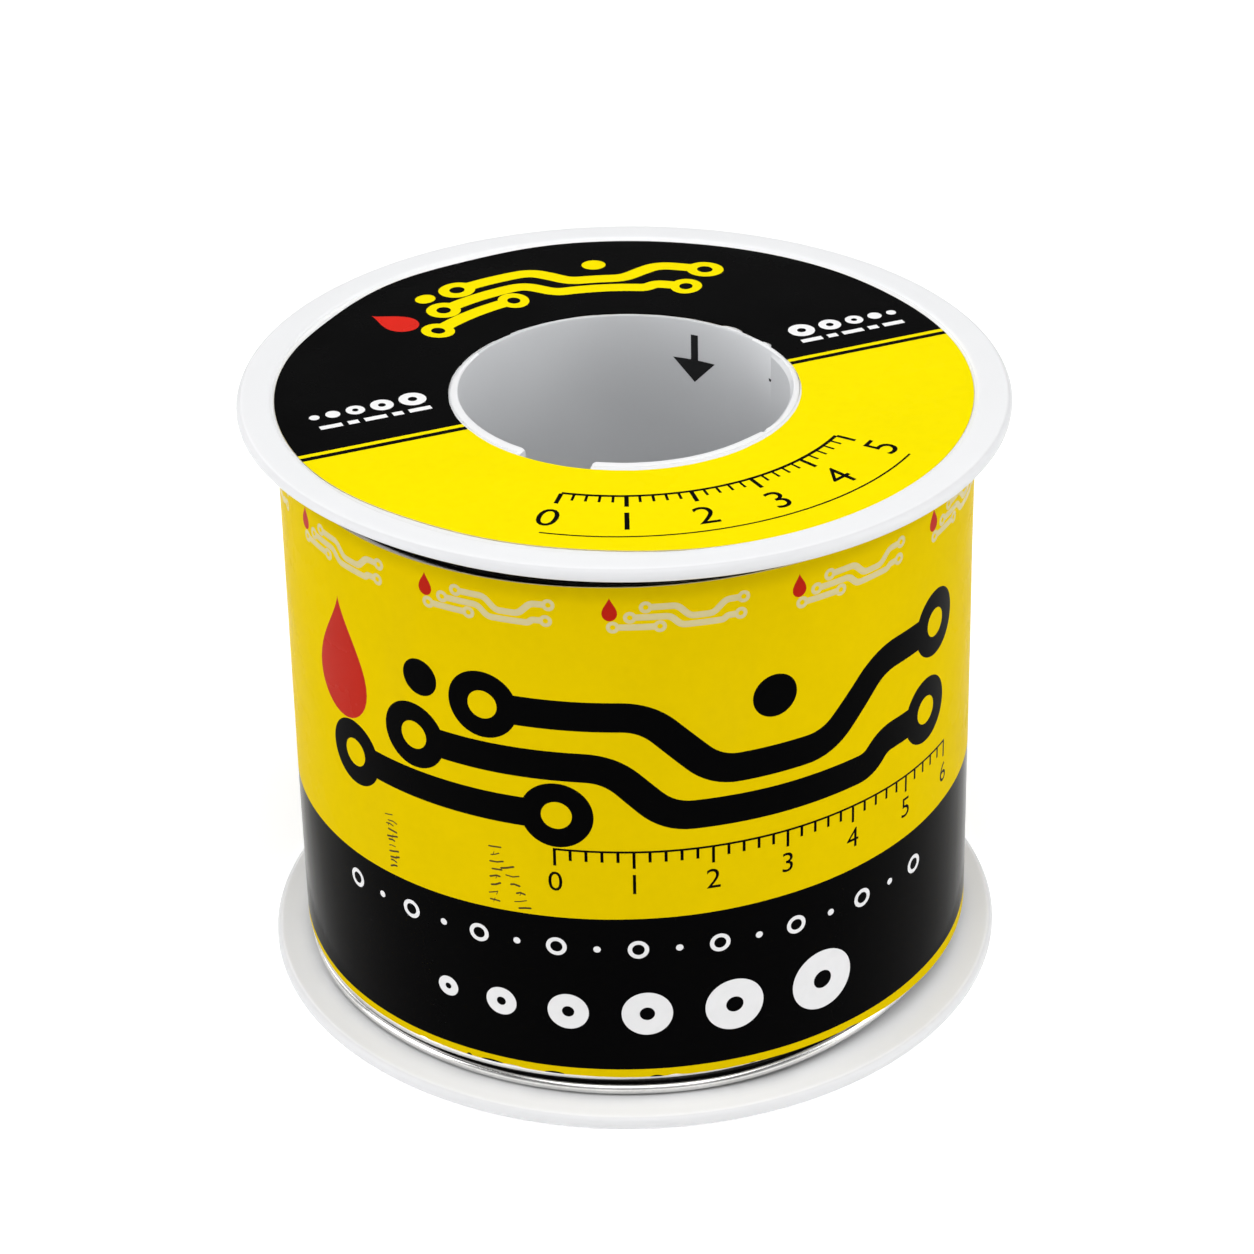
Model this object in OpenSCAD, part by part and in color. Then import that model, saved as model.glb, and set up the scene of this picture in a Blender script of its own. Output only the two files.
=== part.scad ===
// Solder wire spool, full: a moulded core tube with two pressed-on flanges,
// a level-wound coil of flux-cored solder wire, a label on the upper flange and
// a wrap-around label on the coil.
// Frame: origin at the middle of the resting face, +Z along the spool axis.

/* [Flanges] */
// Outside diameter of both flanges
flange_d = 50; // [46:0.5:60]
// Thickness of a flange at its rim
flange_t = 1; // [0.9:0.1:2]
// Radius of the rounding on the flange rim
rim_r = 0.42; // [0.2:0.02:0.5]
// Diameter of the shallow label recess in the outer face of a flange
recess_d = 45.2; // [42:0.1:45.4]
// Depth of the label recess
recess_t = 0.3; // [0.2:0.05:0.6]

/* [Spool] */
// Overall height, resting face to upper rim
spool_h = 41.6; // [30:0.1:60]
// Bore that runs on the spindle
bore_d = 21.5; // [16:0.1:22]
// Outside diameter of the core tube under the winding
core_d = 24; // [23:0.1:26]
// Outside diameter of the tube ends that pass through the flanges
spigot_d = 22.7; // [22.3:0.1:22.9]
// Width of the notch in each end, in degrees
notch_deg = 24.7; // [10:0.1:30]
// Direction of the notch in the upper end, in degrees
notch_at = -113.2; // [-180:0.1:180]
// Diameter out to which the notches are cut
notch_d = 23.8; // [23:0.1:24]

/* [Wire] */
// Wire diameter
wire_d = 0.8; // [0.5:0.1:1]
// Diameter of the flux core inside the wire
flux_d = 0.26; // [0.1:0.01:0.4]
// Outside diameter of the finished winding
winding_d = 45.3; // [40:0.1:46]
// Turns in the outermost layer, the last part turn not counted
outer_turns = 47; // [20:1:47]
// Angle of the last part turn, in degrees
tail_deg = 268; // [60:1:320]
// Direction in which the last part turn starts, in degrees
tail_from = 140; // [-180:1:180]
// Distance of the anchor hole from the axis
anchor_r = 13.4; // [13:0.1:16]

/* [Labels] */
// Thickness of the label film
label_t = 0.1; // [0.05:0.01:0.15]
// How far the hole of the ring label sits off the axis, towards -Y
hole_off = 0.55; // [0:0.05:0.8]
// Lower edge of the wrap label above the resting face
wrap_z0 = 2.7; // [1.5:0.05:5]
// Upper edge of the wrap label above the resting face
wrap_z1 = 39.05; // [30:0.05:60]
// Width of the glued overlap of the wrap label, in degrees
seam_deg = 15; // [5:1:30]
// Direction of the overlap, in degrees
seam_at = 4; // [-180:1:180]

/* [Hidden] */
$fn = 96;
web_t = flange_t - recess_t;          // flange plate behind the label
wind_z0 = flange_t;                   // underside and top of the winding space
wind_z1 = spool_h - flange_t;
wind_h = wind_z1 - wind_z0;
wire_r = wire_d / 2;
turn_r = winding_d / 2 - wire_r;      // centre line of the outermost turns
pitch = (wind_h - wire_d) / outer_turns;
lip_in = recess_t + 0.01;             // tube end below the rim, at the bore
lip_out = recess_t + 0.12;            // tube end below the rim, at the flange
top_z = spool_h - recess_t;           // floor of the upper recess
white = [0.93, 0.93, 0.92];
tin = [0.72, 0.72, 0.73];

// One flange, resting face down, seen as the lower one, its notch in direction dir
module flange_disc(dir) {
    difference() {
        rotate_extrude() union() {
            // plate with a rounded rim
            translate([spigot_d / 2, 0]) square([flange_d / 2 - rim_r - spigot_d / 2, flange_t]);
            translate([flange_d / 2 - 2 * rim_r, rim_r]) square([2 * rim_r, flange_t - 2 * rim_r]);
            translate([flange_d / 2 - rim_r, rim_r]) circle(r = rim_r);
            translate([flange_d / 2 - rim_r, flange_t - rim_r]) circle(r = rim_r);
        }
        // label recess with a small draft on its wall
        translate([0, 0, -1]) cylinder(h = 1 + recess_t, d = recess_d);
        translate([0, 0, -0.001]) cylinder(h = 0.12, d1 = recess_d + 0.24, d2 = recess_d);
        // anchor hole for the start of the wire
        translate([anchor_r, 0, -1]) cylinder(h = flange_t + 2, d = wire_d + 0.4, $fn = 32);
        translate([0, 0, -1]) notch(dir);
    }
}

// Half profile of the core tube with its bevelled, slightly rounded ends
module core_profile() {
    polygon([
        [bore_d / 2, lip_in + 0.08], [bore_d / 2 + 0.03, lip_in + 0.02], [bore_d / 2 + 0.1, lip_in],
        [spigot_d / 2 - 0.12, lip_out - 0.04], [spigot_d / 2, lip_out + 0.03],
        [spigot_d / 2, wind_z0], [core_d / 2, wind_z0],
        [core_d / 2, wind_z1], [spigot_d / 2, wind_z1],
        [spigot_d / 2, spool_h - lip_out - 0.03], [spigot_d / 2 - 0.12, spool_h - lip_out + 0.04],
        [bore_d / 2 + 0.1, spool_h - lip_in], [bore_d / 2 + 0.03, spool_h - lip_in - 0.02],
        [bore_d / 2, spool_h - lip_in - 0.08]]);
}

// Wedge that cuts one notch through a tube end and the flange round it
module notch(dir) {
    rotate([0, 0, dir - notch_deg / 2])
        rotate_extrude(angle = notch_deg)
            translate([bore_d / 2 - 1, 0]) square([(notch_d - bore_d) / 2 + 1, flange_t + 2]);
}

module core_tube() {
    color(white) difference() {
        rotate_extrude() core_profile();
        translate([0, 0, wind_z1]) notch(notch_at);
        translate([0, 0, -2]) notch(notch_at + 180);
    }
}

module upper_flange() {
    color(white) translate([0, 0, spool_h]) mirror([0, 0, 1]) flange_disc(notch_at);
}

module lower_flange() {
    color(white) flange_disc(notch_at + 180);
}

// All layers under the outermost one
module inner_winding() {
    color(tin) translate([0, 0, wind_z0]) difference() {
        cylinder(h = wind_h, r = turn_r - wire_r);
        translate([0, 0, -1]) cylinder(h = wind_h + 2, d = core_d);
    }
}

// Outermost layer: one round turn beside the other, joined where they touch
module outer_wire_layer() {
    color(tin) rotate_extrude() union() {
        translate([turn_r - wire_r, wind_z0]) square([wire_r, wire_d + (outer_turns - 1) * pitch]);
        for (i = [0 : outer_turns - 1])
            translate([turn_r, wind_z0 + wire_r + i * pitch]) circle(r = wire_r, $fn = 32);
    }
}

// Last part turn with the cut end, open for its flux core
module wire_last_turn() {
    color(tin) translate([0, 0, wind_z0 + wire_r + outer_turns * pitch])
        rotate([0, 0, tail_from]) rotate_extrude(angle = tail_deg)
            translate([turn_r, 0]) difference() {
                circle(r = wire_r, $fn = 32);
                circle(d = flux_d, $fn = 24);
            }
}

// First end of the wire, down through the anchor hole
module wire_start_end() {
    color(tin) translate([anchor_r, 0, 0.22]) difference() {
        cylinder(h = wind_z0 - 0.22, d = wire_d, $fn = 32);
        translate([0, 0, -1]) cylinder(h = wind_z0 + 2, d = flux_d, $fn = 24);
    }
}

// Rosin flux in both open ends of the wire
module flux_core() {
    color([0.55, 0.36, 0.12]) {
        translate([0, 0, wind_z0 + wire_r + outer_turns * pitch])
            rotate([0, 0, tail_from + 0.15]) rotate_extrude(angle = tail_deg - 0.3)
                translate([turn_r, 0]) circle(d = flux_d, $fn = 24);
        translate([anchor_r, 0, 0.28]) cylinder(h = wind_z0 - 0.28, d = flux_d, $fn = 24);
    }
}

// Wrap-around label with its glued overlap at the back
module wrap_label() {
    color([0.98, 0.86, 0.02]) {
        translate([0, 0, wrap_z0]) rotate_extrude()
            translate([winding_d / 2 + 0.01, 0]) square([label_t, wrap_z1 - wrap_z0]);
        translate([0, 0, wrap_z0]) rotate([0, 0, seam_at]) rotate_extrude(angle = seam_deg)
            translate([winding_d / 2 + 0.01 + label_t / 2, 0]) square([label_t * 1.5, wrap_z1 - wrap_z0]);
    }
}

// Ring label in the upper recess
module top_label() {
    color([0.98, 0.86, 0.02]) translate([0, 0, top_z]) difference() {
        cylinder(h = label_t, d = recess_d - 0.2);
        translate([0, -hole_off, -1]) cylinder(h = label_t + 2, d = spigot_d + 0.1);
    }
}

core_tube();
upper_flange();
lower_flange();
inner_winding();
outer_wire_layer();
wire_last_turn();
wire_start_end();
flux_core();
wrap_label();
top_label();
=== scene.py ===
import bpy
import bmesh
import math
import numpy as np
from mathutils import Matrix, Vector
from mathutils.geometry import delaunay_2d_cdt


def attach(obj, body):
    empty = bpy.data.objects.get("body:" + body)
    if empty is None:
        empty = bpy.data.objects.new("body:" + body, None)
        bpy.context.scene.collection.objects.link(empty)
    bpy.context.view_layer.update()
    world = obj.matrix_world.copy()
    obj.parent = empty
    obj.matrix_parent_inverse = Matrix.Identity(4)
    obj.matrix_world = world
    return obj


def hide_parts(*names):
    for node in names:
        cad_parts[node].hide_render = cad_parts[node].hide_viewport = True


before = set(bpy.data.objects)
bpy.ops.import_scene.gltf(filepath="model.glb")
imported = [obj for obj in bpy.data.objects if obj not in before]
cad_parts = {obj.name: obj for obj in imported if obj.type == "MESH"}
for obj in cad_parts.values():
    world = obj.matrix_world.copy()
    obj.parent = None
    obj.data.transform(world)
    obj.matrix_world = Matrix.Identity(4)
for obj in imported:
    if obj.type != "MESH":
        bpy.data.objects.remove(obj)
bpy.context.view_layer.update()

MM = 0.001
PI = math.pi
TAU = 2 * PI

# ---------------------------------------------------------------- dimensions, mm, as in part.scad
H = 41.6            # overall height, at the high side of the upper rim
HA = 41.4           # the upper rim on the axis
TILT = -0.008       # the upper flange sits a little askew and drops towards +X
FT = 1.0            # flange thickness
RF = 25.0           # flange radius
REC_R, REC_T = 22.6, 0.3
RB = 10.75          # bore radius
RSP = 11.35         # tube end radius
RC = 12.0           # tube radius under the winding
WR = 0.4            # wire radius
FR = 0.13           # flux core radius
TR = 22.25          # centre line radius of the outermost turns
TURNS = 47
Z0 = FT + WR + 0.01         # lowest turn
LZ0, LZ1 = 2.67, 38.97      # wrap label edges
LR = 22.66          # wrap label, inner radius
LT = 0.1
SEAM = 4.0          # where the wrap label starts, degrees
SEAM_W = 15.0
TAIL_FROM, TAIL_DEG = 140.0, 268.0
ANCHOR = 13.4
NOTCH_AT, NOTCH_W, NOTCH_R = -113.2, 24.7, 11.9


def near_deg(deg, c, w):
    """Soft bump, 1 at angle c and gone a little past w degrees from it."""
    d = (np.asarray(deg, float) - c + 180) % 360 - 180
    return np.exp(-(d / w) ** 2)


def sstep(t):
    t = np.clip(t, 0.0, 1.0)
    return t * t * (3 - 2 * t)


def wob(x, seed, n=6, base=1.0):
    """Smooth, repeatable ripple of x in radians, periodic over a turn, about -1 to 1."""
    r = np.random.RandomState(seed)
    out = np.zeros_like(np.asarray(x, float))
    tot = 0.0
    for k in range(1, n + 1):
        a = 1.0 / k ** 0.6
        out = out + a * np.sin(base * k * x + r.uniform(0, TAU))
        tot += a
    return out / tot * 1.6


def slack(deg, z):
    """How far the upper left of the winding, and the label on it, sits in from round."""
    return 0.19 * near_deg(deg, 180, 48) * np.clip((np.asarray(z, float) - 14.0) / 24.0, 0, 1)


# ---------------------------------------------------------------- mesh helpers
def mesh_object(name, verts, faces, mats, midx=None, loop_normals=None, smooth=True):
    me = bpy.data.meshes.new(name)
    me.from_pydata((np.asarray(verts, float) * MM).tolist(), [], [list(map(int, f)) for f in faces])
    for m in mats:
        me.materials.append(m)
    if midx is not None:
        me.polygons.foreach_set("material_index", np.asarray(midx, np.int32))
    me.polygons.foreach_set("use_smooth", np.full(len(me.polygons), smooth, bool))
    me.update()
    if loop_normals is not None:
        me.normals_split_custom_set([tuple(n) for n in loop_normals])
    ob = bpy.data.objects.new(name, me)
    bpy.context.scene.collection.objects.link(ob)
    return ob


def face_outward(ob):
    bm = bmesh.new()
    bm.from_mesh(ob.data)
    bmesh.ops.recalc_face_normals(bm, faces=bm.faces)
    bm.to_mesh(ob.data)
    bm.free()
    ob.data.update()


def grid_ring(name, P, mats, sharp=32.0, closed_u=True, closed_v=True, caps=False, vmat=None):
    """P is (u, v, 3). Quads between neighbours, wrapped in u and v as asked; vmat gives a material for each row."""
    nu, nv = P.shape[:2]
    idx = np.arange(nu * nv).reshape(nu, nv)
    u = np.arange(nu if closed_u else nu - 1)
    v = np.arange(nv if closed_v else nv - 1)
    U, V = np.meshgrid(u, v, indexing="ij")
    U2, V2 = (U + 1) % nu, (V + 1) % nv
    F = np.stack([idx[U, V], idx[U2, V], idx[U2, V2], idx[U, V2]], -1).reshape(-1, 4).tolist()
    if caps and not closed_u:
        F.append(idx[0][::-1].tolist())
        F.append(idx[-1].tolist())
    midx = None if vmat is None else np.tile(np.asarray(vmat)[v], len(u))
    ob = mesh_object(name, P.reshape(-1, 3), F, mats, midx)
    face_outward(ob)
    if sharp:
        ob.data.set_sharp_from_angle(angle=math.radians(sharp))
    return ob


def arc(cx, cz, r, a0, a1, n):
    a = np.radians(np.linspace(a0, a1, n))
    return [(cx + r * math.cos(t), cz + r * math.sin(t)) for t in a]


def revolve(name, prof, n, mats, wobble=None, centre=(0.0, 0.0), sharp=32.0):
    prof = np.asarray(prof, float)
    th = np.linspace(0, TAU, n, endpoint=False)
    r = np.repeat(prof[None, :, 0], n, 0)
    z = np.repeat(prof[None, :, 1], n, 0)
    if wobble is not None:
        r, z = wobble(th[:, None], r, z)
    P = np.stack([centre[0] + r * np.cos(th)[:, None], centre[1] + r * np.sin(th)[:, None], z], -1)
    return grid_ring(name, P, mats, sharp=sharp)


def wedge(name, r0, r1, z0, z1, mid_deg, width_deg, mat):
    """Closed piece of a ring, to cut with."""
    a = np.radians(np.linspace(mid_deg - width_deg / 2, mid_deg + width_deg / 2, 26))
    rows = []
    for r, z in ((r0, z0), (r1, z0), (r1, z1), (r0, z1)):
        rows.append(np.stack([r * np.cos(a), r * np.sin(a), np.full_like(a, z)], -1))
    return grid_ring(name, np.stack(rows, 1), [mat], sharp=0, closed_u=False, closed_v=True, caps=True)


def cut(ob, cutter):
    """Takes cutter away from ob for good."""
    md = ob.modifiers.new("cut", "BOOLEAN")
    md.operation = "DIFFERENCE"
    md.solver = "EXACT"
    md.object = cutter
    dg = bpy.context.evaluated_depsgraph_get()
    me = bpy.data.meshes.new_from_object(ob.evaluated_get(dg))
    ob.modifiers.clear()
    old = ob.data
    ob.data = me
    bpy.data.meshes.remove(old)
    cm = cutter.data
    bpy.data.objects.remove(cutter)
    bpy.data.meshes.remove(cm)


# ---------------------------------------------------------------- materials
class Mat:
    def __init__(self, name):
        self.m = bpy.data.materials.new(name)
        self.m.use_nodes = True
        self.t = self.m.node_tree
        self.t.nodes.clear()
        self.out = self.t.nodes.new("ShaderNodeOutputMaterial")
        self.b = self.t.nodes.new("ShaderNodeBsdfPrincipled")
        self.t.links.new(self.b.outputs[0], self.out.inputs["Surface"])
        self.co = self.t.nodes.new("ShaderNodeTexCoord").outputs["Object"]

    def set(self, **kw):
        for k, v in kw.items():
            s = self.b.inputs[k.replace("_", " ")]
            s.default_value = (*v, 1.0) if isinstance(v, tuple) and len(v) == 3 and s.type == "RGBA" else v
        return self

    def node(self, kind, **kw):
        n = self.t.nodes.new(kind)
        for k, v in kw.items():
            setattr(n, k, v)
        return n

    def link(self, a, b):
        self.t.links.new(a, b)

    def math(self, op, a, b=None, c=None):
        n = self.node("ShaderNodeMath", operation=op)
        for i, v in enumerate((a, b, c)):
            if v is None:
                continue
            if isinstance(v, (int, float)):
                n.inputs[i].default_value = v
            else:
                self.link(v, n.inputs[i])
        return n.outputs[0]

    def noise(self, scale, detail=3.0, rough=0.5, vec=None, stretch=None, dist=0.0):
        v = vec if vec is not None else self.co
        if stretch:
            mp = self.node("ShaderNodeMapping")
            mp.inputs["Scale"].default_value = stretch
            self.link(v, mp.inputs["Vector"])
            v = mp.outputs[0]
        n = self.node("ShaderNodeTexNoise")
        n.inputs["Scale"].default_value = scale
        n.inputs["Detail"].default_value = detail
        n.inputs["Roughness"].default_value = rough
        n.inputs["Distortion"].default_value = dist
        self.link(v, n.inputs["Vector"])
        return n.outputs["Fac"]

    def ramp(self, fac, stops):
        n = self.node("ShaderNodeValToRGB")
        e = n.color_ramp.elements
        while len(e) < len(stops):
            e.new(0.5)
        for i, (p, c) in enumerate(stops):
            e[i].position = p
            e[i].color = (*c, 1.0) if len(c) == 3 else c
        self.link(fac, n.inputs[0])
        return n.outputs[0]

    def range(self, fac, a, b, c, d, smooth=False):
        n = self.node("ShaderNodeMapRange")
        if smooth:
            n.interpolation_type = "SMOOTHSTEP"
        for i, v in zip((1, 2, 3, 4), (a, b, c, d)):
            n.inputs[i].default_value = v
        self.link(fac, n.inputs[0])
        return n.outputs[0]

    def mix(self, fac, a, b, mode="MIX"):
        n = self.node("ShaderNodeMix", data_type="RGBA", blend_type=mode)
        for sock, v in ((n.inputs[0], fac), (n.inputs[6], a), (n.inputs[7], b)):
            if isinstance(v, (int, float)):
                sock.default_value = v
            elif isinstance(v, tuple):
                sock.default_value = (*v, 1.0) if len(v) == 3 else v
            else:
                self.link(v, sock)
        return n.outputs[2]

    def bump(self, height, dist, strength=1.0, normal=None):
        n = self.node("ShaderNodeBump")
        n.inputs["Strength"].default_value = strength
        n.inputs["Distance"].default_value = dist
        self.link(height, n.inputs["Height"])
        if normal is not None:
            self.link(normal, n.inputs["Normal"])
        return n.outputs[0]

    def polar(self, ka, kz, kr=1.0):
        """Object place as (angle * ka, height * kz, radius * kr), metres, for marks that run round the axis."""
        s = self.node("ShaderNodeSeparateXYZ")
        self.link(self.co, s.inputs[0])
        x, y, z = s.outputs
        # cos and sin of the angle, so nothing breaks where the angle starts again
        r = self.math("SQRT", self.math("ADD", self.math("MULTIPLY", x, x), self.math("MULTIPLY", y, y)))
        c = self.math("DIVIDE", x, r)
        d = self.math("DIVIDE", y, r)
        cb = self.node("ShaderNodeCombineXYZ")
        self.link(self.math("MULTIPLY", c, ka), cb.inputs[0])
        self.link(self.math("MULTIPLY", d, ka), cb.inputs[1])
        self.link(self.math("ADD", self.math("MULTIPLY", z, kz), self.math("MULTIPLY", r, kr)), cb.inputs[2])
        return cb.outputs[0], r, z

    def toward(self, deg, r):
        """Cosine of the angle between a place and a direction, seen along the axis."""
        dv = self.node("ShaderNodeVectorMath", operation="DOT_PRODUCT")
        self.link(self.co, dv.inputs[0])
        dv.inputs[1].default_value = (math.cos(math.radians(deg)), math.sin(math.radians(deg)), 0.0)
        return self.math("DIVIDE", dv.outputs["Value"], r)


def plastic(name, lo, hi, rough=(0.34, 0.46), grain=1.0, foot=False, depth_shade=False):
    m = Mat(name)
    big = m.noise(55, 3)
    fine = m.noise(2600, 2)
    col = m.ramp(big, [(0.3, lo), (0.7, hi)])
    if foot:
        # painted shade: the lower flange is darker where the winding stands on it
        _, r, z = m.polar(1.0, 1.0)
        k = m.ramp(m.range(m.math("ADD", r, m.math("MULTIPLY", m.noise(340, 3), 0.0004)), 0.0226, 0.0250, 0.0, 1.0),
                   [(0.0, (0.58, 0.58, 0.58)), (0.12, (0.71, 0.71, 0.71)), (0.27, (0.87, 0.87, 0.87)), (0.42, (0.96, 0.96, 0.96)), (0.60, (1.0, 1.0, 1.0))])
        here = m.math("MULTIPLY", m.range(z, 0.0007, 0.0009, 0.0, 1.0), m.range(z, 0.0020, 0.0030, 1.0, 0.0))
        # the painted shade fades out towards the right front
        shade_fade = m.range(m.toward(-33.0, r), 0.80, 0.96, 1.0, 0.12, True)
        col = m.mix(m.math("MULTIPLY", here, shade_fade), col, m.mix(1.0, col, k, "MULTIPLY"))
        # painted shade: both rims are a little darker round their outer edge, measured from the inner face of each
        # flange
        x = m.math("MULTIPLY", m.toward(0.0, r), r)
        up = m.math("MULTIPLY", m.math("GREATER_THAN", z, 0.02), m.math("ADD", m.math("MULTIPLY", x, -TILT), (FT - HA) * MM))
        k = m.ramp(m.range(m.math("ADD", z, up), 0.00025, 0.00100, 0.0, 1.0),
                   [(0.0, (0.65, 0.65, 0.655)), (0.33, (0.67, 0.67, 0.675)), (0.53, (0.695, 0.695, 0.70)), (0.69, (0.715, 0.715, 0.72)),
                    (0.81, (0.745, 0.745, 0.75)), (0.915, (0.78, 0.78, 0.785)), (0.955, (0.90, 0.90, 0.90)), (0.985, (1.0, 1.0, 1.0))])
        edge = m.range(r, 0.0242, 0.0246, 0.0, 1.0)
        col = m.mix(edge, col, m.mix(1.0, col, k, "MULTIPLY"))
        # painted shade: the whole upper flange is slightly darker than the lower one
        col = m.mix(m.range(z, 0.0390, 0.0400, 0.0, 1.0), col, m.mix(1.0, col, (0.97, 0.97, 0.97), "MULTIPLY"))
    if depth_shade:
        # painted shade: the bore gets darker downwards
        _, r, z = m.polar(1.0, 1.0)
        k = m.ramp(m.range(z, 0.0330, 0.0412, 0.0, 1.0), [(0.0, (0.88, 0.88, 0.88)), (1.0, (1.0, 1.0, 1.0))])
        col = m.mix(1.0, col, k, "MULTIPLY")
    m.link(col, m.b.inputs["Base Color"])
    m.link(m.range(m.noise(260, 4), 0.3, 0.7, *rough), m.b.inputs["Roughness"])
    n1 = m.bump(big, 0.00012 * grain, 0.5)
    n2 = m.bump(m.noise(700, 3), 0.000018 * grain, 0.6, n1)
    n3 = m.bump(fine, 0.000004 * grain, 0.7, n2)
    m.link(n3, m.b.inputs["Normal"])
    m.set(IOR=1.5, Specular_IOR_Level=0.42)
    return m.m


def film(name, ink, spec=0.3, rough=0.22, wear=0.0, vary=0.03, ior=1.5, shade=1.0):
    """Printed, glossy label film."""
    m = Mat(name)
    blotch = m.noise(130, 4)
    fibre = m.noise(1500, 3)
    dark = tuple(c * (1 - vary) for c in ink)
    light = tuple(min(1.0, c * (1 + vary)) for c in ink)
    col = m.ramp(m.math("ADD", m.math("MULTIPLY", blotch, 0.6), m.math("MULTIPLY", fibre, 0.4)),
                 [(0.32, dark), (0.68, light)])
    if wear > 0:
        sm = m.noise(95, 5, 0.6, stretch=(1.0, 1.0, 0.45), dist=0.8)
        mask = m.math("MULTIPLY", m.range(sm, 0.56, 0.74, 0.0, 1.0, True), wear)
        col = m.mix(mask, col, tuple(c * 0.55 + 0.02 for c in ink))
    if shade < 1:
        # the top edge lies in the shade of the upper flange
        _, r, z = m.polar(1.0, 1.0)
        col = m.mix(m.range(z, 0.0376, 0.0388, 0.0, 1.0, True), col, m.mix(1.0, col, (shade, shade, shade), "MULTIPLY"))
    m.link(col, m.b.inputs["Base Color"])
    m.link(m.range(m.noise(210, 4), 0.3, 0.7, rough * 0.85, rough * 1.25), m.b.inputs["Roughness"])
    n1 = m.bump(m.noise(75, 2), 0.00016, 0.35)
    n2 = m.bump(fibre, 0.0000035, 0.5, n1)
    m.link(n2, m.b.inputs["Normal"])
    m.set(IOR=ior, Specular_IOR_Level=spec)
    return m.m


def solder(name, lo=(0.60, 0.595, 0.58), hi=(0.86, 0.855, 0.84), rough=(0.16, 0.34), crevice=False):
    """Drawn tin-lead wire: bright metal with fine lines along its length and duller patches."""
    m = Mat(name)
    vec, r, z = m.polar(0.012, 1.0, 0.9)
    lines = m.noise(9000, 3, 0.6, vec)
    dull = m.noise(420, 4, 0.55)
    col = m.ramp(m.math("ADD", m.math("MULTIPLY", lines, 0.35), m.math("MULTIPLY", dull, 0.65)), [(0.30, lo), (0.62, hi)])
    if crevice:
        # no light gets between the turns, nor into the sunk-in place under the upper flange
        depth_shade = m.ramp(m.range(r, 0.0219, 0.02246, 0.0, 1.0), [(0.0, (0.02, 0.02, 0.02)), (0.55, (0.12, 0.12, 0.12)), (1.0, (1.0, 1.0, 1.0))])
        low = m.range(z, 0.0050, 0.0060, 1.0, 0.0)
        col = m.mix(low, col, m.mix(1.0, col, depth_shade, "MULTIPLY"))
        side = m.range(m.toward(-118.0, r), 0.45, 0.80, 0.0, 1.0, True)
        high = m.range(z, 0.0384, 0.0389, 0.0, 1.0)
        col = m.mix(m.math("MULTIPLY", side, high), col, (0.03, 0.026, 0.022))
    m.link(col, m.b.inputs["Base Color"])
    m.link(m.range(dull, 0.3, 0.72, *rough), m.b.inputs["Roughness"])
    n1 = m.bump(lines, 0.0000016, 0.8)
    n2 = m.bump(m.noise(1900, 3), 0.000006, 0.5, n1)
    m.link(n2, m.b.inputs["Normal"])
    m.set(Metallic=1.0)
    return m.m


def rosin(name):
    m = Mat(name)
    n = m.noise(5200, 3)
    m.link(m.ramp(n, [(0.3, (0.10, 0.038, 0.006)), (0.7, (0.30, 0.13, 0.025))]), m.b.inputs["Base Color"])
    m.link(m.range(n, 0.3, 0.7, 0.2, 0.4), m.b.inputs["Roughness"])
    m.link(m.bump(n, 0.00002, 0.8), m.b.inputs["Normal"])
    return m.m


# the spool's white plastic, with painted shade on the flanges: at the winding's foot, round both rims and over the
# whole upper flange
WHITE = plastic("spool_white_plastic", (0.930, 0.936, 0.948), (0.948, 0.953, 0.964), foot=True)
# painted shade: the tube is the same white plastic, made grey because the bore lies in shade
TUBE_SHADED = plastic("tube_plastic_painted_shade", (0.65, 0.66, 0.675), (0.71, 0.72, 0.735), rough=(0.34, 0.46), depth_shade=True)
MARK_INK = film("bore_mark_ink", (0.016, 0.016, 0.017), spec=0.1, rough=0.5, vary=0.2)
SOLDER = solder("solder_wire", (0.60, 0.595, 0.585), (0.76, 0.755, 0.745), (0.14, 0.26), crevice=True)
# painted shade: the inner layers are the same bright wire, made nearly black because they lie in shade
SOLDER_SHADED = solder("solder_wire_painted_shade", (0.05, 0.047, 0.044), (0.12, 0.115, 0.11), (0.3, 0.5))
ROSIN = rosin("rosin_flux")
W_YELLOW = film("wrap_film_yellow", (0.618, 0.446, 0.0002), spec=0.3, rough=0.26, wear=0.06, ior=1.027, shade=0.83)
W_BLACK = film("wrap_film_black", (0.0008, 0.0008, 0.0009), spec=0.010, rough=0.13, vary=0.2)
W_GREY = film("wrap_film_grey", (0.53, 0.46, 0.24), spec=0.3, rough=0.26, ior=1.12)
W_RED = film("wrap_film_red", (0.385, 0.012, 0.004), spec=0.3, rough=0.26, ior=1.12)
W_WHITE = film("wrap_film_white", (0.67, 0.67, 0.68), spec=0.05, rough=0.28)
W_MARK = film("wrap_film_scuff", (0.060, 0.038, 0.007), spec=0.05, vary=0.3)
FILM_EDGE = film("label_film_edge", (0.60, 0.52, 0.30), spec=0.1)
T_YELLOW = film("ring_film_yellow", (0.97, 0.80, 0.0002), spec=0.3, rough=0.26, ior=1.06)
T_BLACK = film("ring_film_black", (0.0020, 0.0020, 0.0021), spec=0.04, rough=0.24, vary=0.2, ior=1.28)
T_RED = film("ring_film_red", (0.74, 0.022, 0.012), spec=0.3, rough=0.26, ior=1.15)
T_WHITE = film("ring_film_white", (0.93, 0.93, 0.93), spec=0.3, rough=0.26, ior=1.15)

# ---------------------------------------------------------------- flanges
RIM = 0.47


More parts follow.
